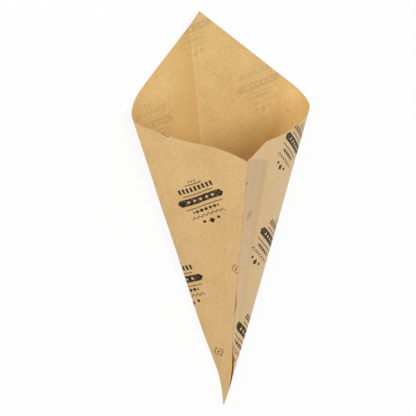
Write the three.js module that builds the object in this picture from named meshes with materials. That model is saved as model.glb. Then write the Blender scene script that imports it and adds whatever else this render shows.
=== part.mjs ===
// A takeaway cone folded from one square sheet of greaseproof paper, lying on its back panel.
// The sheet's corner is the cone's tip. One edge of the sheet is a narrow glue flap, creased along the
// front ridge and cut a little past the square, and the opposite edge laps over it. Millimetres, +Z up,
// the mouth towards +Y.
import * as THREE from 'three';

// Sheet
const sheetSide = 200;
const paperThickness = 0.1;
const glueThickness = 0.03;
const ridgeFromSquareEdge = 21.5;
const flapWidth = 32;
const flapTrim = 14;
const seamSetback = 0.3;

// Tip
const tipOpening = 1.5;
const pressedLength = 12;
const pinchedLength = 68;
const pinchedWidthShare = 0.32;
const bentLength = 28.5;
const tipBend = new THREE.Vector3(-2.5, 0, -1.6);

// Seam, measured from the tip along the ridge: where the lapped edge stands off the flap
const longGapStart = 8;
const longGapEnd = 56;
const longGapHeight = 1.3;
const shortGapStart = 70;
const shortGapEnd = 95;
const shortGapHeight = 0.6;
const gapSpread = 14;
const lapStep = 4;

// Section of the opened cone, square to its axis, at this distance from the tip: x to the right, y to
// the back. The paper's own width then sets how wide it really opens. The cone lies on its two feet, with
// the back crease pushed in between them. The right panel bends where the doubled paper begins.
const sectionDistance = 200;
const frontRidge = new THREE.Vector2(0, -29.6);
const frontRidgeTurn = new THREE.Vector2(-2.5, -32.5);
const leftPanelNearRidge = new THREE.Vector2(-18, 0.9);
const leftPanelNearCorner = new THREE.Vector2(-23.4, -15.4);
const leftCornerStart = new THREE.Vector2(-49.3, 22);
const leftCornerFront = new THREE.Vector2(-53.7, 28.4);
const leftCornerBack = new THREE.Vector2(-42.8, 35.8);
const leftFoot = new THREE.Vector2(-36.4, 35.2);
const leftFootWidth = 6;
const backCrease = new THREE.Vector2(-1.4, 29.2);
const rightFootWidth = 10;
const rightFoot = new THREE.Vector2(62.1, 26);
const rightCornerBack = new THREE.Vector2(73.2, 25);
const rightCornerFront = new THREE.Vector2(73.8, 13.5);
const rightCornerEnd = new THREE.Vector2(73.2, 10);
const rightPanelNearCorner = new THREE.Vector2(70.5, -6);
const rightPanelNearBend = new THREE.Vector2(38, -15);
const lapBendOuter = new THREE.Vector2(31.6, -14.8);
const lapBendInner = new THREE.Vector2(24.2, -15);

// Facets
const curveDivisions = 24;
const facetsPerRuling = 18;
const facetGrowth = 1.4;
const panelFacet = THREE.MathUtils.degToRad(2.2);
const cornerFacet = THREE.MathUtils.degToRad(0.75);

const rightAngle = Math.PI / 2;
const ridgeAngle = Math.asin(ridgeFromSquareEdge / sheetSide);
const flapAngle = Math.asin(flapWidth / sheetSide);
const flapEdgeAngle = ridgeAngle - flapAngle;
const lapStart = rightAngle - flapAngle;
const setbackAngle = Math.asin(seamSetback / sheetSide);
const wrapAngle = rightAngle - ridgeAngle + setbackAngle;

const paper = new THREE.MeshStandardMaterial({ color: 0xd9b47c, roughness: 0.72, metalness: 0 });
paper.name = 'greaseproof_paper';

const alongFloor = rightFoot.clone().sub(leftFoot).normalize();
const offFloor = new THREE.Vector2(alongFloor.y, -alongFloor.x);
const underCrease = leftFoot.clone()
  .addScaledVector(alongFloor, backCrease.clone().sub(leftFoot).dot(alongFloor));

// The outline of the section from ridge to ridge, with the number of the point at the end of each span.
function sectionPoints() {
  const path = new THREE.Path();
  const joints = {};
  const line = (name, to) => {
    path.lineTo(to.x, to.y);
    joints[name] = path.getPoints(curveDivisions).length - 1;
  };
  const curve = (name, near, far, to) => {
    path.bezierCurveTo(near.x, near.y, far.x, far.y, to.x, to.y);
    joints[name] = path.getPoints(curveDivisions).length - 1;
  };
  path.moveTo(frontRidge.x, frontRidge.y);
  line('ridgeTurn', frontRidgeTurn);
  curve('leftCornerStart', leftPanelNearRidge, leftPanelNearCorner, leftCornerStart);
  curve('leftFoot', leftCornerFront, leftCornerBack, leftFoot);
  line('leftFootEnd', leftFoot.clone().addScaledVector(alongFloor, leftFootWidth));
  line('backCrease', backCrease);
  line('rightFootStart', rightFoot.clone().addScaledVector(alongFloor, -rightFootWidth));
  line('rightFoot', rightFoot);
  curve('rightCornerEnd', rightCornerBack, rightCornerFront, rightCornerEnd);
  curve('lapBendOuter', rightPanelNearCorner, rightPanelNearBend, lapBendOuter);
  line('lapBendInner', lapBendInner);
  line('ridge', frontRidge);
  return { points: path.getPoints(curveDivisions), joints };
}

const section = sectionPoints();

// Unit vectors from the tip through the section, scaled about the floor under the crease and squeezed
// along it, with the angle that the paper covers from the front ridge to each of them.
function fan(scale, widthShare) {
  const rays = section.points.map((point) => {
    const offset = point.clone().sub(underCrease);
    const place = underCrease.clone()
      .addScaledVector(alongFloor, offset.dot(alongFloor) * scale * widthShare)
      .addScaledVector(offFloor, offset.dot(offFloor) * scale);
    return new THREE.Vector3(place.x, place.y, sectionDistance).normalize();
  });
  const angles = [0];
  for (let i = 1; i < rays.length; i += 1) {
    angles.push(angles[i - 1] + rays[i].angleTo(rays[i - 1]));
  }
  return { rays, angles };
}

// The fan whose paper closes exactly at the ridge: its scale is found by halving.
const fans = new Map();
const scaleRange = [0.1, 8];
const halvings = 40;
function closedFan(widthShare) {
  const key = widthShare.toFixed(4);
  if (!fans.has(key)) {
    let [low, high] = scaleRange;
    for (let i = 0; i < halvings; i += 1) {
      const middle = (low + high) / 2;
      if (fan(middle, widthShare).angles.at(-1) < wrapAngle) {
        low = middle;
      } else {
        high = middle;
      }
    }
    fans.set(key, fan((low + high) / 2, widthShare));
  }
  return fans.get(key);
}

function smooth(value, start, end) {
  return THREE.MathUtils.smoothstep(value, start, end);
}

function rulingAt(wrap, distance) {
  const widthShare = THREE.MathUtils.lerp(pinchedWidthShare, 1, smooth(distance, 0, pinchedLength));
  const { rays, angles } = closedFan(widthShare);
  let i = 1;
  while (i < angles.length - 1 && angles[i] < wrap) {
    i += 1;
  }
  const share = (wrap - angles[i - 1]) / (angles[i] - angles[i - 1]);
  return rays[i - 1].clone().lerp(rays[i], share).normalize();
}

// A point of the folded sheet's middle layer before the lap is stepped. Sheet angles are measured from
// the square's edge on the flap. The flap turns back at the ridge and runs behind the panel that ends there.
function foldedPoint(sheetAngle, distance) {
  const beyondRidge = sheetAngle - ridgeAngle;
  const wrap = beyondRidge < 0 ? wrapAngle + beyondRidge : beyondRidge;
  const bend = Math.max(0, 1 - distance / bentLength) ** 2;
  return rulingAt(wrap, distance).multiplyScalar(distance).addScaledVector(tipBend, bend);
}

const probe = 1e-3;
function outward(sheetAngle, distance) {
  const inFlap = sheetAngle < ridgeAngle;
  const before = Math.max(sheetAngle - probe, flapEdgeAngle);
  const after = Math.min(sheetAngle + probe, inFlap ? ridgeAngle - probe : rightAngle);
  const around = foldedPoint(after, distance).sub(foldedPoint(Math.min(before, after - probe), distance));
  const along = foldedPoint(sheetAngle, distance * (1 + probe)).sub(foldedPoint(sheetAngle, distance));
  return along.cross(around).normalize();
}

function gap(distance, start, end, height) {
  if (distance <= start || distance >= end) {
    return 0;
  }
  return height * Math.sin(Math.PI * (distance - start) / (end - start)) ** 2;
}

// How far the lapped edge lies outside the flap.
function standOff(sheetAngle, distance, pressed) {
  const stepAngle = lapStep / sheetSide;
  const onFlap = smooth(sheetAngle, lapStart - stepAngle, lapStart);
  const spread = THREE.MathUtils.degToRad(gapSpread);
  const nearEdge = THREE.MathUtils.clamp((sheetAngle - rightAngle + spread) / spread, 0, 1) ** 2;
  const lifted = gap(distance, longGapStart, longGapEnd, longGapHeight)
    + gap(distance, shortGapStart, shortGapEnd, shortGapHeight);
  return (paperThickness + glueThickness) * pressed * onFlap + lifted * nearEdge;
}

// Distance from the tip to the sheet's far edges, which meet at its corner at 45 degrees.
function edgeDistance(sheetAngle) {
  const edge = sheetSide / Math.max(Math.cos(sheetAngle), Math.sin(sheetAngle));
  const trimmed = Math.max(0, ridgeAngle - sheetAngle) / flapAngle;
  return edge - flapTrim * trimmed;
}

// Sheet angles of the rulings: every crease, corner and edge has one, and the corners have them closer.
// The flap has those of the panel that laps over it, so that the two layers stay parallel.
function rulings() {
  const { angles } = closedFan(1);
  const at = (joint) => ridgeAngle + angles[section.joints[joint]];
  const stops = [
    [at('ridgeTurn'), panelFacet],
    [at('leftCornerStart'), panelFacet],
    [at('leftFoot'), cornerFacet],
    [at('leftFootEnd'), panelFacet],
    [at('backCrease'), panelFacet],
    [rightAngle / 2, panelFacet],
    [at('rightFootStart'), panelFacet],
    [at('rightFoot'), panelFacet],
    [at('rightCornerEnd'), cornerFacet],
    [at('lapBendOuter'), panelFacet],
    [at('lapBendInner'), panelFacet],
    [lapStart - lapStep / sheetSide, panelFacet],
    [lapStart, cornerFacet],
    [rightAngle, panelFacet],
  ].sort((one, other) => one[0] - other[0]);
  const wrapped = [ridgeAngle];
  for (const [end, facet] of stops) {
    const start = wrapped.at(-1);
    const count = Math.max(1, Math.ceil((end - start) / facet));
    for (let i = 1; i <= count; i += 1) {
      wrapped.push(start + (end - start) * i / count);
    }
  }
  const underLap = wrapped.slice(0, -1)
    .map((sheetAngle) => sheetAngle - wrapAngle)
    .filter((sheetAngle) => sheetAngle > flapEdgeAngle);
  return [flapEdgeAngle, ...underLap, ...wrapped];
}

function foldedSheet() {
  const sheetAngles = rulings();
  const columns = sheetAngles.length - 1;
  const geometry = new THREE.BoxGeometry(1, 1, 1, columns, facetsPerRuling, 1);
  const position = geometry.attributes.position;
  for (let i = 0; i < position.count; i += 1) {
    const sheetAngle = sheetAngles[Math.round((0.5 - position.getX(i)) * columns)];
    const share = (position.getY(i) + 0.5) ** facetGrowth;
    const distance = THREE.MathUtils.lerp(tipOpening, edgeDistance(sheetAngle), share);
    const pressed = Math.min(1, distance / pressedLength);
    const layer = standOff(sheetAngle, distance, pressed);
    const face = position.getZ(i) * paperThickness * pressed;
    const point = foldedPoint(sheetAngle, distance)
      .addScaledVector(outward(sheetAngle, distance), layer + face);
    position.setXYZ(i, point.x, point.y, point.z);
  }
  geometry.computeVertexNormals();
  return geometry;
}

// The cone lies on its two feet, which are flat and in one plane with the tip.
function layDown(mesh) {
  const { rays } = closedFan(1);
  const { leftFoot: left, rightFoot: right } = section.joints;
  const down = rays[left].clone().cross(rays[right]).normalize();
  const up = down.clone().negate();
  const towardsMouth = new THREE.Vector3(0, 0, 1).projectOnPlane(up).normalize();
  const sideways = towardsMouth.clone().cross(up);
  const basis = new THREE.Matrix4().makeBasis(sideways, towardsMouth, up);
  mesh.quaternion.setFromRotationMatrix(basis.transpose());
  mesh.updateMatrixWorld();
  const bounds = new THREE.Box3().setFromObject(mesh, true);
  const centre = bounds.getCenter(new THREE.Vector3());
  mesh.position.set(-centre.x, -centre.y, -bounds.min.z);
}

const paperCone = new THREE.Mesh(foldedSheet(), paper);
paperCone.name = 'paper_cone';
layDown(paperCone);

const cone = new THREE.Group();
cone.add(paperCone);

export default cone;
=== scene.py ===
"""A takeaway cone of printed greaseproof paper, lying on its back panel, seen from above its front ridge."""
import math

import bpy
import numpy as np
from mathutils import Matrix, Vector

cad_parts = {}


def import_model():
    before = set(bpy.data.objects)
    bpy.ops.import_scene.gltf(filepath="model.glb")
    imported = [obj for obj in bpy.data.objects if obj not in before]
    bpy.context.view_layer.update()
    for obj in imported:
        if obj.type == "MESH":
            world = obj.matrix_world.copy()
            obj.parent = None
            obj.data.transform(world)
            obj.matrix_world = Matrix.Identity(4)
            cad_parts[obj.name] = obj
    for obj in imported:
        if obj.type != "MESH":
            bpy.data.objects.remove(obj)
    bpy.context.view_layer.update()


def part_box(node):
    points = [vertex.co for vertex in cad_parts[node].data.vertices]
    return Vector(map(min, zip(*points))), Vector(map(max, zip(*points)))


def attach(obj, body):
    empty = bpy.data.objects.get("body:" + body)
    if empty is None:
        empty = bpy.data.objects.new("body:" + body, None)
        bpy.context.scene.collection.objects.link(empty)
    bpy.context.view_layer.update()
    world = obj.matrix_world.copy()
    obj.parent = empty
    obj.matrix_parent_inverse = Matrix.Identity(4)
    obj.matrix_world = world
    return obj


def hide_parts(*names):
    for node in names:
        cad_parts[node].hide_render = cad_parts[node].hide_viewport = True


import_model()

MM = 0.001
NODE = "paper_cone"

# The sheet, as the part has it
SHEET_SIDE = 200 * MM
PAPER_THICKNESS = 0.1 * MM
GLUE_THICKNESS = 0.03 * MM
RIDGE_FROM_SQUARE_EDGE = 21.5 * MM
FLAP_WIDTH = 32 * MM
FLAP_TRIM = 14 * MM
SEAM_SETBACK = 0.3 * MM
TIP_OPENING = 1.5 * MM
PRESSED_LENGTH = 12 * MM
PINCHED_LENGTH = 68 * MM
PINCHED_WIDTH_SHARE = 0.32
BENT_LENGTH = 28.5 * MM
TIP_BEND = (-2.5 * MM, 0, -1.6 * MM)

# Where the lapped edge stands off the flap: start, end and height, measured from the tip
SEAM_GAPS = ((8 * MM, 56 * MM, 1.3 * MM), (70 * MM, 95 * MM, 0.6 * MM))
GAP_SPREAD = math.radians(14)
LAP_STEP = 4 * MM

# Section of the opened cone at this distance from the tip, x to the right and y to the back
SECTION_DISTANCE = 200
FRONT_RIDGE = (0, -29.6)
FRONT_RIDGE_TURN = (-2.5, -32.5)
LEFT_PANEL = (FRONT_RIDGE_TURN, (-18, 0.9), (-23.4, -15.4), (-49.3, 22))
LEFT_FOOT = (-36.4, 35.2)
LEFT_CORNER = (LEFT_PANEL[-1], (-53.7, 28.4), (-42.8, 35.8), LEFT_FOOT)
LEFT_FOOT_WIDTH = 6
BACK_CREASE = (-1.4, 29.2)
RIGHT_FOOT_WIDTH = 10
RIGHT_FOOT = (62.1, 26)
RIGHT_CORNER = (RIGHT_FOOT, (73.2, 25), (73.8, 13.5), (73.2, 10))
LAP_BEND_OUTER = (31.6, -14.8)
LAP_BEND_INNER = (24.2, -15)
RIGHT_PANEL = (RIGHT_CORNER[-1], (70.5, -6), (38, -15), LAP_BEND_OUTER)

# Fineness of the visible mesh
CURVE_STEPS = 90
ROWS = 150
ROW_GROWTH = 1.3
PANEL_STEP = math.radians(0.7)
CORNER_STEP = math.radians(0.35)
CREASE_STEP = math.radians(0.12)
CREASE_ROUND = math.radians(0.3)
WIDTH_SHARES = 25
SHARP_ANGLE = math.radians(50)

# Search for the section's size at which the paper closes
SCALE_RANGE = (0.1, 8.0)
HALVINGS = 40

# The photograph's view of the cone, from a fit to its rim: the apex and centre are in its pixels
IMAGE_SIZE = 416
PIXEL = 0.6753 * MM
APEX_PIXEL = (226.45, 404.99)
VIEW_ELEVATION = math.radians(27.34)
VIEW_AZIMUTH = math.radians(-32.94)
VIEW_ROLL = math.radians(-0.38)
CAMERA_DISTANCE = 10.0
TARGET_DEPTH = 0.08
SENSOR = 36.0

RIGHT_ANGLE = math.pi / 2
RIDGE_ANGLE = math.asin(RIDGE_FROM_SQUARE_EDGE / SHEET_SIDE)
FLAP_ANGLE = math.asin(FLAP_WIDTH / SHEET_SIDE)
FLAP_EDGE_ANGLE = RIDGE_ANGLE - FLAP_ANGLE
LAP_START = RIGHT_ANGLE - FLAP_ANGLE
SETBACK_ANGLE = math.asin(SEAM_SETBACK / SHEET_SIDE)
WRAP_ANGLE = RIGHT_ANGLE - RIDGE_ANGLE + SETBACK_ANGLE


def unit(vectors):
    return vectors / np.linalg.norm(vectors, axis=-1, keepdims=True)


def bezier(points, steps):
    """Points of a cubic curve after its first."""
    t = np.linspace(0, 1, steps + 1)[1:, None]
    a, b, c, d = (np.array(p, float) for p in points)
    return (1 - t) ** 3 * a + 3 * t * (1 - t) ** 2 * b + 3 * t * t * (1 - t) * c + t ** 3 * d


ALONG_FLOOR = unit(np.array(RIGHT_FOOT, float) - np.array(LEFT_FOOT, float))
OFF_FLOOR = np.array([ALONG_FLOOR[1], -ALONG_FLOOR[0]])
UNDER_CREASE = LEFT_FOOT + ALONG_FLOOR * ((np.array(BACK_CREASE) - LEFT_FOOT) @ ALONG_FLOOR)


def section():
    """The section's outline from ridge to ridge, and the index of the point that ends each span."""
    spans = {
        "ridge": [FRONT_RIDGE],
        "ridge turn": [FRONT_RIDGE_TURN],
        "left corner start": bezier(LEFT_PANEL, CURVE_STEPS),
        "left foot": bezier(LEFT_CORNER, CURVE_STEPS),
        "left foot end": [LEFT_FOOT + ALONG_FLOOR * LEFT_FOOT_WIDTH],
        "back crease": [BACK_CREASE],
        "right foot start": [RIGHT_FOOT - ALONG_FLOOR * RIGHT_FOOT_WIDTH],
        "right foot": [RIGHT_FOOT],
        "right corner end": bezier(RIGHT_CORNER, CURVE_STEPS),
        "lap bend outer": bezier(RIGHT_PANEL, CURVE_STEPS),
        "lap bend inner": [LAP_BEND_INNER],
        "closing ridge": [FRONT_RIDGE],
    }
    ends = np.cumsum([len(span) for span in spans.values()]) - 1
    return np.vstack(list(spans.values())), dict(zip(spans, ends))


OUTLINE, JOINTS = section()


def fan(scale, width_share):
    """Unit vectors from the tip through the section, and the angle of paper from the ridge to each."""
    offset = OUTLINE - UNDER_CREASE
    place = (UNDER_CREASE
             + np.outer(offset @ ALONG_FLOOR, ALONG_FLOOR) * scale * width_share
             + np.outer(offset @ OFF_FLOOR, OFF_FLOOR) * scale)
    rays = unit(np.column_stack([place, np.full(len(place), SECTION_DISTANCE)]))
    steps = 2 * np.arcsin(np.linalg.norm(np.diff(rays, axis=0), axis=1) / 2)
    return rays, np.concatenate([[0], np.cumsum(steps)])


def closed_fan(width_share):
    """The fan whose paper closes exactly at the ridge."""
    low, high = SCALE_RANGE
    for _ in range(HALVINGS):
        middle = (low + high) / 2
        if fan(middle, width_share)[1][-1] < WRAP_ANGLE:
            low = middle
        else:
            high = middle
    return fan((low + high) / 2, width_share)


OPEN_RAYS, OPEN_ANGLES = closed_fan(1.0)
SHEET_ANGLES = {name: RIDGE_ANGLE + OPEN_ANGLES[joint] for name, joint in JOINTS.items()}


def smooth(value, start, end):
    t = np.clip((value - start) / (end - start), 0, 1)
    return t * t * (3 - 2 * t)


def span_steps(first, stops):
    """Sheet angles that divide the spans between the stops into equal steps no longer than each one's own."""
    found = [first]
    for end, step in sorted(stops):
        start = found[-1]
        count = max(1, math.ceil((end - start) / step))
        found.extend(start + (end - start) * i / count for i in range(1, count + 1))
    return np.array(found)


def sheet_angles():
    """One ruling on every crease, corner and edge, and under the lapped panel the same ones as in it."""
    at = SHEET_ANGLES
    creases = [at[name] for name in ("back crease", "lap bend outer", "lap bend inner")]
    near_ridge = span_steps(RIDGE_ANGLE - CREASE_ROUND, [(RIDGE_ANGLE, CREASE_STEP)])[:-1]
    wrapped = span_steps(RIDGE_ANGLE, [
        (RIDGE_ANGLE + CREASE_ROUND, CREASE_STEP),
        (at["ridge turn"], CORNER_STEP),
        (at["left corner start"], PANEL_STEP),
        (at["left foot"], CORNER_STEP),
        (at["left foot end"], PANEL_STEP),
        *((crease - CREASE_ROUND, PANEL_STEP) for crease in creases),
        *((crease, CREASE_STEP) for crease in creases),
        *((crease + CREASE_ROUND, CREASE_STEP) for crease in creases),
        (RIGHT_ANGLE / 2, PANEL_STEP),
        (at["right foot start"], PANEL_STEP),
        (at["right foot"], PANEL_STEP),
        (at["right corner end"], CORNER_STEP),
        (LAP_START - LAP_STEP / SHEET_SIDE, PANEL_STEP),
        (LAP_START, CORNER_STEP),
        (RIGHT_ANGLE, CORNER_STEP),
    ])
    under_lap = wrapped - WRAP_ANGLE
    under_lap = under_lap[(under_lap > FLAP_EDGE_ANGLE) & (under_lap < RIDGE_ANGLE - CREASE_ROUND)]
    return np.concatenate([[FLAP_EDGE_ANGLE], under_lap, near_ridge, wrapped])


def edge_distance(angles):
    """Distance from the tip to the far edges of the square sheet, less the flap's slanted end."""
    edge = SHEET_SIDE / np.maximum(np.cos(angles), np.sin(angles))
    return edge - FLAP_TRIM * np.clip((RIDGE_ANGLE - angles) / FLAP_ANGLE, 0, 1)


def folded(wrap, distance):
    """Points of the folded sheet's middle layer."""
    shares = np.linspace(PINCHED_WIDTH_SHARE, 1, WIDTH_SHARES)
    rays = []
    for share in shares:
        fan_rays, angles = closed_fan(share)
        rays.append(np.stack([np.interp(wrap, angles, fan_rays[:, k]) for k in range(3)], axis=-1))
    rays = np.array(rays)
    width = PINCHED_WIDTH_SHARE + (1 - PINCHED_WIDTH_SHARE) * smooth(distance, 0, PINCHED_LENGTH)
    place = (width - shares[0]) / (shares[1] - shares[0])
    low = np.clip(place.astype(int), 0, WIDTH_SHARES - 2)
    part = (place - low)[..., None]
    row, column = np.indices(distance.shape)
    blended = rays[low, row, column] * (1 - part) + rays[low + 1, row, column] * part
    bend = np.clip(1 - distance / BENT_LENGTH, 0, 1) ** 2
    return unit(blended) * distance[..., None] + bend[..., None] * TIP_BEND


def stand_off(angles, distance, pressed):
    """How far the lapped edge lies outside the flap."""
    on_flap = smooth(angles, LAP_START - LAP_STEP / SHEET_SIDE, LAP_START)
    near_edge = np.clip((angles - RIGHT_ANGLE + GAP_SPREAD) / GAP_SPREAD, 0, 1) ** 2
    lifted = np.zeros_like(distance)
    for start, end, height in SEAM_GAPS:
        inside = np.clip((distance - start) / (end - start), 0, 1)
        lifted += height * np.sin(math.pi * inside) ** 2
    return (PAPER_THICKNESS + GLUE_THICKNESS) * pressed * on_flap + lifted * near_edge


# Soft buckles that run along the rulings: waves across the paper, size and shift of each
BUCKLES = ((5, 0.16 * MM, 0.4), (9, 0.11 * MM, 2.1), (14, 0.06 * MM, 4.0), (23, 0.03 * MM, 1.3))
BUCKLE_SHIFT_LENGTH = 70 * MM
# Dents: share of the wrap, distance from the tip, half width across and along, depth inwards
DENTS = (
    (0.12, 118 * MM, 9 * MM, 34 * MM, 0.55 * MM),
    (0.25, 160 * MM, 12 * MM, 26 * MM, -0.4 * MM),
    (0.21, 84 * MM, 7 * MM, 24 * MM, 0.35 * MM),
    (0.86, 120 * MM, 9 * MM, 30 * MM, 0.45 * MM),
    (0.78, 168 * MM, 10 * MM, 18 * MM, 0.4 * MM),
)
# Shares of the wrap over which the waves grow from nothing, after the ridge and before the seam
HELD_AT_RIDGE = 0.06
HELD_AT_SEAM = 0.14
FLAT_MARGIN = math.radians(4)


def unevenness(wrap, distance, flat):
    """The paper's own slight waves and dents, none at the ridge and none where it lies flat."""
    share = wrap / WRAP_ANGLE
    waves = np.zeros_like(distance)
    for count, size, shift in BUCKLES:
        waves += size * np.sin(2 * math.pi * count * share + shift + distance / BUCKLE_SHIFT_LENGTH)
    for middle, place, across, along, depth in DENTS:
        aside = (share - middle) * WRAP_ANGLE * distance / across
        waves -= depth * np.exp(-aside ** 2 - ((distance - place) / along) ** 2)
    held = smooth(share, 0, HELD_AT_RIDGE) * smooth(1 - share, 0, HELD_AT_SEAM)
    return waves * held * np.clip(distance / SHEET_SIDE, 0, 1) * (1 - flat)


def lies_flat(wrap):
    """1 on the panel that lies on the table and 0 away from it."""
    start, end = OPEN_ANGLES[JOINTS["left foot"]], OPEN_ANGLES[JOINTS["right foot"]]
    return smooth(wrap, start - FLAT_MARGIN, start) * smooth(end + FLAT_MARGIN - wrap, 0, FLAT_MARGIN)


def sheet_faces(rows, columns):
    """The quads of the outer side, the inner side and the cut edge, and the material index of each."""
    outer = np.arange(rows * columns).reshape(rows, columns)
    inner = outer + rows * columns
    a, b, c, d = outer[:-1, :-1], outer[:-1, 1:], outer[1:, 1:], outer[1:, :-1]
    outer_faces = np.stack([a, d, c, b], axis=-1).reshape(-1, 4)
    inner_faces = np.stack([a, b, c, d], axis=-1).reshape(-1, 4) + rows * columns
    rims = [np.concatenate([side[0, :], side[1:, -1], side[-1, -2::-1], side[-2:0:-1, 0]])
            for side in (outer, inner)]
    edge_faces = np.stack([rims[0], np.roll(rims[0], -1), np.roll(rims[1], -1), rims[1]], axis=-1)
    faces = np.concatenate([outer_faces, inner_faces, edge_faces])
    kinds = np.repeat([0, 1, 2], [len(outer_faces), len(inner_faces), len(edge_faces)])
    return faces, kinds


def folded_sheet():
    """Vertices, faces, material indices and flat-sheet coordinates of the folded sheet."""
    angles = sheet_angles()
    share = np.linspace(0, 1, ROWS + 1) ** ROW_GROWTH
    distance = TIP_OPENING + (edge_distance(angles)[None] - TIP_OPENING) * share[:, None]
    angle = np.broadcast_to(angles, distance.shape)
    wrap = np.where(angle < RIDGE_ANGLE, WRAP_ANGLE + angle - RIDGE_ANGLE, angle - RIDGE_ANGLE)
    middle = folded(wrap, distance)
    pressed = np.clip(distance / PRESSED_LENGTH, 0, 1)

    around = np.gradient(middle, axis=1)
    ridge = int(np.argmin(np.abs(angles - RIDGE_ANGLE)))
    before, at, after = (middle[:, ridge + step] for step in (-1, 0, 1))
    around[:, ridge] = unit(after - at) + unit(at - before)
    along = np.gradient(middle, axis=0)
    outward = unit(np.cross(along, around))
    layer = stand_off(angle, distance, pressed) + unevenness(wrap, distance, lies_flat(wrap))

    sides = [middle + outward * (layer + side * PAPER_THICKNESS / 2 * pressed)[..., None] for side in (1, -1)]
    points = np.concatenate([side.reshape(-1, 3) for side in sides])
    flat_sheet = np.stack([distance * np.cos(angle), distance * np.sin(angle)], axis=-1).reshape(-1, 2)
    uv = np.concatenate([flat_sheet, flat_sheet]) / SHEET_SIDE
    return points, *sheet_faces(*distance.shape), uv


def lying_basis():
    """Rows: the world's X, Y and Z in the cone's own frame, whose axis is Z and whose ridge is at -Y."""
    up = -unit(np.cross(OPEN_RAYS[JOINTS["left foot"]], OPEN_RAYS[JOINTS["right foot"]]))
    mouth = np.array([0.0, 0.0, 1.0])
    mouth = unit(mouth - up * (mouth @ up))
    return np.array([np.cross(mouth, up), mouth, up])


def paper_cone(materials):
    """The folded sheet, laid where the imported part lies. Returns its tip's place."""
    points, faces, kinds, uv = folded_sheet()
    points = points @ lying_basis().T
    low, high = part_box(NODE)
    shift = (Vector(low) + Vector(high)) / 2 - Vector((points.min(axis=0) + points.max(axis=0)) / 2)
    shift.z = low[2] - points[:, 2].min()
    points += np.array(shift)
    mesh = bpy.data.meshes.new(NODE)
    mesh.from_pydata(points.tolist(), [], faces.tolist())
    layer = mesh.uv_layers.new(name="sheet")
    corner_vertices = np.empty(len(mesh.loops), dtype=np.int32)
    mesh.loops.foreach_get("vertex_index", corner_vertices)
    layer.data.foreach_set("uv", uv[corner_vertices].astype(np.float32).ravel())
    for material in materials:
        mesh.materials.append(material)
    mesh.polygons.foreach_set("material_index", kinds.astype(np.int32))
    mesh.polygons.foreach_set("use_smooth", np.ones(len(faces), dtype=bool))
    mesh.set_sharp_from_angle(angle=SHARP_ANGLE)
    mesh.validate()
    mesh.update()
    piece = bpy.data.objects.new("printed_paper_cone", mesh)
    bpy.context.scene.collection.objects.link(piece)
    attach(piece, "root")
    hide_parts(NODE)
    return shift


class Field:
    """A number that varies over a material, as the output of a node."""

    tree = None

    def __init__(self, socket):
        self.socket = socket

    @classmethod
    def math(cls, operation, *values, clamp=False):
        node = cls.tree.nodes.new("ShaderNodeMath")
        node.operation = operation
        node.use_clamp = clamp
        for place, value in zip(node.inputs, values):
            if isinstance(value, Field):
                cls.tree.links.new(value.socket, place)
            else:
                place.default_value = value
        return cls(node.outputs[0])

    def __add__(self, other):
        return Field.math("ADD", self, other)

    def __sub__(self, other):
        return Field.math("SUBTRACT", self, other)

    def __rsub__(self, other):
        return Field.math("SUBTRACT", other, self)

    def __mul__(self, other):
        return Field.math("MULTIPLY", self, other)

    def __truediv__(self, other):
        return Field.math("DIVIDE", self, other)

    def abs(self):
        return Field.math("ABSOLUTE", self)

    def wrapped(self, pitch):
        """The distance from the nearest of evenly spaced middles."""
        return self - Field.math("ROUND", self / pitch) * pitch

    def below(self, limit, softness):
        """1 where the field is under the limit and 0 over it, with a soft edge."""
        return Field.math("MULTIPLY_ADD", self - limit, -1 / softness, 0.5, clamp=True)


def largest(*fields):
    found = fields[0]
    for field in fields[1:]:
        found = Field.math("MAXIMUM", found, field)
    return found


def smallest(*fields):
    found = fields[0]
    for field in fields[1:]:
        found = Field.math("MINIMUM", found, field)
    return found


def rising(field, slope, start):
    """A straight line over the field, held between 0 and 1."""
    return Field.math("MULTIPLY_ADD", field, slope, start, clamp=True)


def bar(x, y, middle, width, height):
    return largest((x - middle[0]).abs() - width / 2, (y - middle[1]).abs() - height / 2)


def lozenge(x, y, middle, size):
    return (x - middle[0]).abs() + (y - middle[1]).abs() - size


# The print: a made-up emblem of bands, rules, dots and lozenges, in millimetres on the flat sheet
PRINT_TILT = math.radians(127)
PRINT_PITCH = (84, 57)
PRINT_START = (-12, 16)

# The emblem's parts. Heights are up from its middle, reaches are half widths, and sizes are half sizes
BANNER_HEIGHT = -1.5
BANNER_SIZE = 2.7
BANNER_REACH = 17
BANNER_POINT_SLOPE = 0.8
HOLE_PITCH = 4.4
HOLE_SIZE = 1.25
HOLES_REACH = 11.5
POST_PITCH = 2.9
POST_SIZE = (0.85, 1.9)
POST_HEIGHT = -10.4
POSTS_REACH = 13.2
BEAD_PITCH = 3.2
BEAD_SIZE = 1.55
BEAD_HEIGHT = 7.2
BEADS_REACH = 9.4
CROWN_MIDDLE = (0, 17.2)
CROWN_SIZE = 2.3
CROWN_SIDE = (5.2, 16.2)
CROWN_SIDE_SIZE = 1.4
ZIGZAG_PITCH = 3.4
ZIGZAG_SLOPE = 1.1
ZIGZAG_HEIGHT = 10.6
ZIGZAG_SIZE = 0.5
ZIGZAG_REACH = 12.2
RULES = ((4.1, 27, 0.8), (-6.2, 22, 0.8), (-14.2, 12, 0.9))
DOT_PITCH = 2.2
DOT_SIZE = 0.7
DOT_HEIGHT = -16.6
DOTS_REACH = 3.5
# The small frame with a pip that stands between the emblems
FRAME_SIZE = 3.4
FRAME_LINE = 0.4
PIP_SIZE = 1.1
THIN_INK = 0.8


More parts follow.
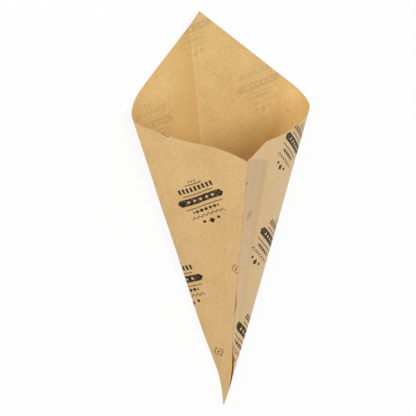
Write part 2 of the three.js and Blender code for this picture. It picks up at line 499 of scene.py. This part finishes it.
def emblem(u, v):
    """The emblem's bold shapes and its fine ones, below zero where there is ink."""
    from_banner = v - BANNER_HEIGHT
    pointed = u.abs() + from_banner.abs() * BANNER_POINT_SLOPE - BANNER_REACH
    banner = largest(from_banner.abs() - BANNER_SIZE, pointed)
    holes = largest(lozenge(u.wrapped(HOLE_PITCH), from_banner, (0, 0), HOLE_SIZE), u.abs() - HOLES_REACH)
    pierced = largest(banner, 0.0 - holes)
    posts = largest(
        u.wrapped(POST_PITCH).abs() - POST_SIZE[0],
        (v - POST_HEIGHT).abs() - POST_SIZE[1],
        u.abs() - POSTS_REACH,
    )
    beads = largest(lozenge(u.wrapped(BEAD_PITCH), v, (0, BEAD_HEIGHT), BEAD_SIZE), u.abs() - BEADS_REACH)
    crown_sides = lozenge(u.abs(), v, CROWN_SIDE, CROWN_SIDE_SIZE)
    crown = smallest(lozenge(u, v, CROWN_MIDDLE, CROWN_SIZE), crown_sides)
    zigzag_line = u.wrapped(ZIGZAG_PITCH).abs() * ZIGZAG_SLOPE + ZIGZAG_HEIGHT
    zigzag = largest((zigzag_line - v).abs() - ZIGZAG_SIZE, u.abs() - ZIGZAG_REACH)
    rules = smallest(*(bar(u, v, (0, height), width, line) for height, width, line in RULES))
    to_dot = u.wrapped(DOT_PITCH), v - DOT_HEIGHT
    from_dot = Field.math("SQRT", to_dot[0] * to_dot[0] + to_dot[1] * to_dot[1])
    dots = largest(from_dot - DOT_SIZE, u.abs() - DOTS_REACH)
    return smallest(pierced, posts, beads, crown), smallest(zigzag, rules, dots)


def printed(x, y, softness):
    """1 where there is ink."""
    across = x * math.cos(PRINT_TILT) + y * math.sin(PRINT_TILT) - PRINT_START[0]
    up = y * math.cos(PRINT_TILT) - x * math.sin(PRINT_TILT) - PRINT_START[1]
    row = Field.math("ROUND", up / PRINT_PITCH[1])
    v = up - row * PRINT_PITCH[1]
    odd = Field.math("PINGPONG", row, 1)
    u = (across + odd * (PRINT_PITCH[0] / 2)).wrapped(PRINT_PITCH[0])
    bold, fine = emblem(u, v)
    from_frame = (u.abs() - PRINT_PITCH[0] / 2).abs() + v.abs()
    line = (from_frame - FRAME_SIZE).abs() - FRAME_LINE
    pip = from_frame - PIP_SIZE
    thin = smallest(fine, line, pip)
    return largest(bold.below(0, softness), thin.below(0, softness) * THIN_INK)


def noise(vector, scale, detail=3.0, roughness=0.55):
    node = Field.tree.nodes.new("ShaderNodeTexNoise")
    node.inputs["Scale"].default_value = scale
    node.inputs["Detail"].default_value = detail
    node.inputs["Roughness"].default_value = roughness
    Field.tree.links.new(vector, node.inputs["Vector"])
    return Field(node.outputs["Fac"])


def stretched(vector, scale, turn):
    node = Field.tree.nodes.new("ShaderNodeMapping")
    node.inputs["Scale"].default_value = scale
    node.inputs["Rotation"].default_value = (0, 0, turn)
    Field.tree.links.new(vector, node.inputs["Vector"])
    return node.outputs["Vector"]


def linear(red, green, blue):
    """A screen colour of 0 to 255 as a material's linear colour."""
    def part(value):
        share = value / 255
        return share / 12.92 if share <= 0.04045 else ((share + 0.055) / 1.055) ** 2.4
    return (part(red), part(green), part(blue), 1.0)


def mixed(share, first, second):
    """A colour socket between two, each a colour or a colour socket."""
    node = Field.tree.nodes.new("ShaderNodeMix")
    node.data_type = "RGBA"
    for name, value in (("Factor_Float", share), ("A_Color", first), ("B_Color", second)):
        place = next(socket for socket in node.inputs if socket.identifier == name)
        if isinstance(value, Field):
            Field.tree.links.new(value.socket, place)
        elif isinstance(value, bpy.types.NodeSocket):
            Field.tree.links.new(value, place)
        else:
            place.default_value = value
    return next(socket for socket in node.outputs if socket.identifier == "Result_Color")


OUTSIDE = linear(219, 182, 126)
OUTSIDE_PALE = linear(232, 198, 147)
OUTSIDE_DEEP = linear(205, 165, 108)
INSIDE = linear(220, 184, 120)
INSIDE_PALE = linear(232, 201, 142)
INSIDE_DEEP = linear(205, 164, 96)
# Painted shade: greyer and darker where the paper lies doubled over the flap and lets less light through
LAP_PAINTED_SHADE = linear(182, 158, 122)
FIBRE = linear(158, 116, 68)
EDGE = linear(204, 146, 68)
# Painted light: the right-hand outside panel lighter and greyer, as the light falls on it
PAINTED_LIGHT_GREY = linear(228, 202, 162)
# Painted light: bright orange for the light that comes through the paper into the seam's gap
FLAP_PAINTED_GLOW = linear(255, 206, 72)
# Painted highlight: the light line on the back crease inside and along the front ridge outside
PAINTED_HIGHLIGHT = linear(242, 216, 174)
INK = linear(22, 12, 4)
GHOST = linear(134, 122, 92)


# How the paper's noise is drawn out, per millimetre across and along, and which way it runs
LAID_STRETCH = (0.06, 0.62, 1)
LONG_FIBRE_STRETCH = (0.35, 3.2, 1)
LONG_FIBRE_TURN = math.radians(38)
CROSS_FIBRE_STRETCH = (0.5, 4.0, 1)
CROSS_FIBRE_TURN = math.radians(-21)
CLOUD_SCALE = 0.05
FORMATION_SCALE = 0.4

# How strongly each mark shows in the paper's colour
PALE_SHARE = 0.55
LAID_SHARE = 0.3
LONG_FIBRE_SHARE = 0.2
CROSS_FIBRE_SHARE = 0.13
# Painted shade and painted highlight at the back crease, inside
CREASE_SHADE_SHARE = 0.8
CREASE_HIGHLIGHT_SHARE = 0.12
# Painted highlight: how strongly the light line along the front ridge shows
RIDGE_HIGHLIGHT_SHARE = 0.55
# Painted light: how much lighter and greyer the right-hand panel is painted
PAINTED_LIGHT_GREY_SHARE = 0.45
# Painted shade: how much darker and greyer the paper over the flap is painted
LAP_SHADE_SHARE = 0.42
EDGE_SHARE_INSIDE = 0.55
EDGE_SHARE_OUTSIDE = 0.25
GHOST_SHARE = 0.27

# Where the marks lie: millimetres on the sheet, or sheet angles
CREASE_SHADE_WIDTH = 22
CREASE_HIGHLIGHT_MIDDLE = 0.7
CREASE_HIGHLIGHT_SIZE = 0.6
RIDGE_HIGHLIGHT_SIZE = 0.3
PAINTED_LIGHT_GREY_FROM = math.radians(66)
PAINTED_LIGHT_GREY_SOFTNESS = math.radians(8)
LAP_SHADE_FADE = 130
EDGE_WIDTH = 0.45
INK_SOFTNESS = 0.3
GHOST_SOFTNESS = 1.1
BUMP_DEPTH = 0.12 * MM


class Sheet:
    """The fields that the paper's colours are worked out from."""

    def __init__(self, tree):
        flat = tree.nodes.new("ShaderNodeUVMap")
        flat.uv_map = "sheet"
        scaled = tree.nodes.new("ShaderNodeVectorMath")
        scaled.operation = "SCALE"
        scaled.inputs["Scale"].default_value = SHEET_SIDE / MM
        tree.links.new(flat.outputs[0], scaled.inputs[0])
        place = scaled.outputs[0]
        parts = tree.nodes.new("ShaderNodeSeparateXYZ")
        tree.links.new(place, parts.inputs[0])
        self.x, self.y = Field(parts.outputs[0]), Field(parts.outputs[1])
        self.angle = Field.math("ARCTAN2", self.y, self.x)
        self.distance = Field.math("SQRT", self.x * self.x + self.y * self.y)

        laid = stretched(place, LAID_STRETCH, PRINT_TILT)
        long_way = stretched(place, LONG_FIBRE_STRETCH, LONG_FIBRE_TURN)
        cross_way = stretched(place, CROSS_FIBRE_STRETCH, CROSS_FIBRE_TURN)
        self.clouds = noise(place, CLOUD_SCALE, detail=4)
        self.formation = noise(place, FORMATION_SCALE, detail=6, roughness=0.7)
        self.laid = noise(laid, 1.0, detail=4, roughness=0.65)
        self.long_fibres = noise(long_way, 1.0, detail=4, roughness=0.6)
        self.cross_fibres = noise(cross_way, 1.0, detail=3, roughness=0.6)
        self.ragged = (self.formation - 0.5) * 0.9 + (self.long_fibres - 0.5) * 0.5


def bare_paper(sheet, body, pale, deep):
    """The unprinted paper's colour: clouds, formation, laid lines and fibres."""
    colour = mixed(rising(sheet.clouds, 2.2, -0.6), deep, body)
    colour = mixed(rising(sheet.formation, 3.0, -1.1) * PALE_SHARE, colour, pale)
    colour = mixed(rising(sheet.laid, 4.0, -1.7) * LAID_SHARE, colour, deep)
    streaks = rising(sheet.long_fibres, 5.0, -2.75) * LONG_FIBRE_SHARE
    crossing = rising(sheet.cross_fibres, 6.0, -3.6) * CROSS_FIBRE_SHARE
    return mixed(largest(streaks, crossing), colour, FIBRE)


def crease_painted_shade_and_highlight(sheet, colour):
    """The inside's painted shade before the back crease and the painted highlight line on it."""
    from_crease = (sheet.angle - SHEET_ANGLES["back crease"]) * sheet.distance
    # Painted shade: the inside darker before the back crease, fading away from it
    shade = from_crease.below(0, 0.5) * rising(from_crease, 1 / CREASE_SHADE_WIDTH, 1.0)
    colour = mixed(shade * CREASE_SHADE_SHARE, colour, INSIDE_DEEP)
    # Painted highlight: a light line on the back crease
    line = (from_crease - CREASE_HIGHLIGHT_MIDDLE).abs().below(CREASE_HIGHLIGHT_SIZE, 0.9)
    return mixed(line * CREASE_HIGHLIGHT_SHARE, colour, PAINTED_HIGHLIGHT)


def lap_painted_light_and_shade(sheet, colour):
    """The outside's painted light and shade: the right panel painted lighter and greyer, the flap painted
    bright orange for the light that comes through the paper into the seam's gap, painted shade where the
    paper lies doubled over the flap, and a painted highlight on the ridge.
    """
    # Painted light: the outside turns lighter and greyer past this sheet angle, on the right-hand panel
    painted_light_grey = (sheet.angle * -1).below(-PAINTED_LIGHT_GREY_FROM, PAINTED_LIGHT_GREY_SOFTNESS)
    colour = mixed(painted_light_grey * PAINTED_LIGHT_GREY_SHARE, colour, PAINTED_LIGHT_GREY)
    # Painted light: the flap's whole outer face bright orange, so that the seam's gap shows lit orange
    colour = mixed(sheet.angle.below(RIDGE_ANGLE, 0.002), colour, FLAP_PAINTED_GLOW)
    # Painted shade: the paper over the flap greyer and darker, growing from nothing towards the mouth
    from_edge = (sheet.angle * -1 + RIGHT_ANGLE) / FLAP_ANGLE
    flap_end = SHEET_SIDE / MM - from_edge * (FLAP_TRIM / MM) - sheet.distance
    lap_shade = from_edge.below(1, 0.05) * (flap_end * -1).below(0, 0.8)
    colour = mixed(lap_shade * rising(sheet.distance, 1 / LAP_SHADE_FADE, -0.35) * LAP_SHADE_SHARE, colour, LAP_PAINTED_SHADE)
    # Painted highlight: a light line along the front ridge
    from_ridge = ((sheet.angle - RIDGE_ANGLE) * sheet.distance).abs()
    return mixed(from_ridge.below(RIDGE_HIGHLIGHT_SIZE, 0.4) * RIDGE_HIGHLIGHT_SHARE, colour, PAINTED_HIGHLIGHT)


def edge_marks(sheet, colour, share):
    """The darker line along the sheet's cut edges."""
    far_edge = SHEET_SIDE / MM - largest(sheet.x, sheet.y)
    lapped_edge = (sheet.angle * -1 + RIGHT_ANGLE) * sheet.distance
    return mixed(smallest(far_edge, lapped_edge).below(EDGE_WIDTH, 0.5) * share, colour, EDGE)


def paper_material(name, inside):
    """Brown greaseproof paper: clouded, fibrous, printed outside and faintly printed through inside, with
    painted light and shade at the back crease, the front ridge and the lap.
    """
    material = bpy.data.materials.new(name)
    material.use_nodes = True
    tree = material.node_tree
    Field.tree = tree
    shader = tree.nodes["Principled BSDF"]
    sheet = Sheet(tree)
    if inside:
        colour = crease_painted_shade_and_highlight(sheet, bare_paper(sheet, INSIDE, INSIDE_PALE, INSIDE_DEEP))
        colour = edge_marks(sheet, colour, EDGE_SHARE_INSIDE)
        ghost = printed(sheet.x + sheet.ragged * 0.3, sheet.y, GHOST_SOFTNESS)
        colour = mixed(ghost * GHOST_SHARE, colour, GHOST)
    else:
        colour = lap_painted_light_and_shade(sheet, bare_paper(sheet, OUTSIDE, OUTSIDE_PALE, OUTSIDE_DEEP))
        colour = edge_marks(sheet, colour, EDGE_SHARE_OUTSIDE)
        worn = rising(sheet.formation, -1.0, 1.45)
        ink = printed(sheet.x + sheet.ragged * 0.25, sheet.y + sheet.ragged * 0.2, INK_SOFTNESS)
        colour = mixed(ink * worn, colour, INK)
    tree.links.new(colour, shader.inputs["Base Color"])

    gloss = Field.math("MULTIPLY_ADD", sheet.formation, 0.22, 0.46)
    tree.links.new(gloss.socket, shader.inputs["Roughness"])
    shader.inputs["Specular IOR Level"].default_value = 0.22
    bump = tree.nodes.new("ShaderNodeBump")
    bump.inputs["Strength"].default_value = 0.35
    bump.inputs["Distance"].default_value = BUMP_DEPTH
    relief = sheet.formation * 0.6 + sheet.long_fibres * 0.5 + sheet.clouds * 2.5
    tree.links.new(relief.socket, bump.inputs["Height"])
    tree.links.new(bump.outputs[0], shader.inputs["Normal"])
    return material


def edge_material():
    """The sheet's cut edge, where the fibres show."""
    material = bpy.data.materials.new("paper_cut_edge")
    material.use_nodes = True
    Field.tree = material.node_tree
    shader = material.node_tree.nodes["Principled BSDF"]
    sheet = material.node_tree.nodes.new("ShaderNodeUVMap")
    sheet.uv_map = "sheet"
    fibres = noise(sheet.outputs[0], 700)
    colour = mixed(fibres, EDGE, OUTSIDE_PALE)
    material.node_tree.links.new(colour, shader.inputs["Base Color"])
    shader.inputs["Roughness"].default_value = 0.85
    return material


def camera(tip):
    """The photograph's view: far away, so that the cone is seen nearly without perspective."""
    sin_a, cos_a = math.sin(VIEW_AZIMUTH), math.cos(VIEW_AZIMUTH)
    sin_e, cos_e = math.sin(VIEW_ELEVATION), math.cos(VIEW_ELEVATION)
    back = np.array([sin_a * cos_e, -cos_a * cos_e, sin_e])
    level = np.array([cos_a, sin_a, 0.0])
    upright = np.cross(back, level)
    right = level * math.cos(VIEW_ROLL) + upright * math.sin(VIEW_ROLL)
    up = upright * math.cos(VIEW_ROLL) - level * math.sin(VIEW_ROLL)
    basis = lying_basis()
    right, up, back = basis @ right, basis @ up, basis @ back
    centre = IMAGE_SIZE / 2
    target = (np.array(tip)
              + right * (centre - APEX_PIXEL[0]) * PIXEL
              + up * (APEX_PIXEL[1] - centre) * PIXEL
              + back * TARGET_DEPTH)
    data = bpy.data.cameras.new("view")
    data.sensor_width = SENSOR
    data.lens = SENSOR * CAMERA_DISTANCE / (IMAGE_SIZE * PIXEL)
    data.clip_start = CAMERA_DISTANCE * 0.1
    data.clip_end = CAMERA_DISTANCE * 10
    view = bpy.data.objects.new("view", data)
    placed = Matrix([[*row] for row in np.column_stack([right, up, back])]).to_4x4()
    placed.translation = Vector(target + back * CAMERA_DISTANCE)
    view.matrix_world = placed
    bpy.context.scene.collection.objects.link(view)
    bpy.context.scene.camera = view
    return right, up, back


FLOOR_SIDE = 3.0
FLOOR_WHITE = 0.86
FLOOR_GLOW = 0.9


def glow_where_seen(tree, surface, strength_of_white):
    """Mixes plain white into a surface for the rays that show it, so that it stays a pale ground."""
    path = tree.nodes.new("ShaderNodeLightPath")
    seen = tree.nodes.new("ShaderNodeMath")
    seen.operation = "MAXIMUM"
    also = tree.nodes.new("ShaderNodeMath")
    also.operation = "MAXIMUM"
    tree.links.new(path.outputs["Is Camera Ray"], seen.inputs[0])
    tree.links.new(path.outputs["Is Glossy Ray"], seen.inputs[1])
    tree.links.new(seen.outputs[0], also.inputs[0])
    tree.links.new(path.outputs["Is Transmission Ray"], also.inputs[1])
    share = tree.nodes.new("ShaderNodeMath")
    share.operation = "MULTIPLY"
    share.inputs[1].default_value = strength_of_white
    tree.links.new(also.outputs[0], share.inputs[0])
    white = tree.nodes.new("ShaderNodeEmission")
    white.inputs["Strength"].default_value = 1.0
    mix = tree.nodes.new("ShaderNodeMixShader")
    tree.links.new(share.outputs[0], mix.inputs[0])
    tree.links.new(surface, mix.inputs[1])
    tree.links.new(white.outputs[0], mix.inputs[2])
    return mix.outputs[0]


def floor():
    material = bpy.data.materials.new("floor_white")
    material.use_nodes = True
    tree = material.node_tree
    shader = tree.nodes["Principled BSDF"]
    shader.inputs["Base Color"].default_value = (FLOOR_WHITE, FLOOR_WHITE, FLOOR_WHITE, 1)
    shader.inputs["Roughness"].default_value = 0.9
    shader.inputs["Specular IOR Level"].default_value = 0.1
    output = tree.nodes["Material Output"]
    tree.links.new(glow_where_seen(tree, shader.outputs[0], FLOOR_GLOW), output.inputs["Surface"])
    half = FLOOR_SIDE / 2
    corners = [(-half, -half, 0), (half, -half, 0), (half, half, 0), (-half, half, 0)]
    mesh = bpy.data.meshes.new("floor")
    mesh.from_pydata(corners, [], [(0, 1, 2, 3)])
    mesh.materials.append(material)
    ground = bpy.data.objects.new("floor", mesh)
    bpy.context.scene.collection.objects.link(ground)


WORLD_LIGHT = 0.5


def world():
    """White where it is seen, and a softer even light on the object."""
    sky = bpy.data.worlds.new("studio")
    bpy.context.scene.world = sky
    sky.use_nodes = True
    tree = sky.node_tree
    light = tree.nodes["Background"]
    light.inputs["Strength"].default_value = WORLD_LIGHT
    light.inputs["Color"].default_value = (1, 1, 1, 1)
    output = tree.nodes["World Output"]
    tree.links.new(glow_where_seen(tree, light.outputs[0], 1.0), output.inputs["Surface"])


def softbox(name, place, aim, side, watts):
    data = bpy.data.lights.new(name, "AREA")
    data.shape = "SQUARE"
    data.size = side
    data.energy = watts
    lamp = bpy.data.objects.new(name, data)
    lamp.location = place
    lamp.rotation_mode = "QUATERNION"
    lamp.rotation_quaternion = (aim - place).to_track_quat("-Z", "Y")
    bpy.context.scene.collection.objects.link(lamp)


# The lamps: metres to the picture's right, up and towards the camera from the cone's middle
LAMP_SIDE = 1.0
LIT_MIDDLE = (0, 0, 0.03)
KEY_PLACE = (-0.75, 0.55, 1.1)
KEY_WATTS = 11.4
FILL_PLACE = (0.9, 0.1, 1.0)
FILL_WATTS = 8.8


def lights(right, up, back):
    """A large key lamp above the picture's left and a weaker one on its right."""
    middle = Vector(LIT_MIDDLE)
    for name, place, watts in (("key", KEY_PLACE, KEY_WATTS), ("fill", FILL_PLACE, FILL_WATTS)):
        offset = right * place[0] + up * place[1] + back * place[2]
        softbox(name, middle + Vector(offset), middle, LAMP_SIDE, watts)


def main():
    outside = paper_material("paper_outside", inside=False)
    lining = paper_material("paper_inside", inside=True)
    tip = paper_cone([outside, lining, edge_material()])
    floor()
    world()
    right, up, back = camera(tip)
    lights(right, up, back)
    bpy.context.scene.view_settings.view_transform = "Standard"


main()
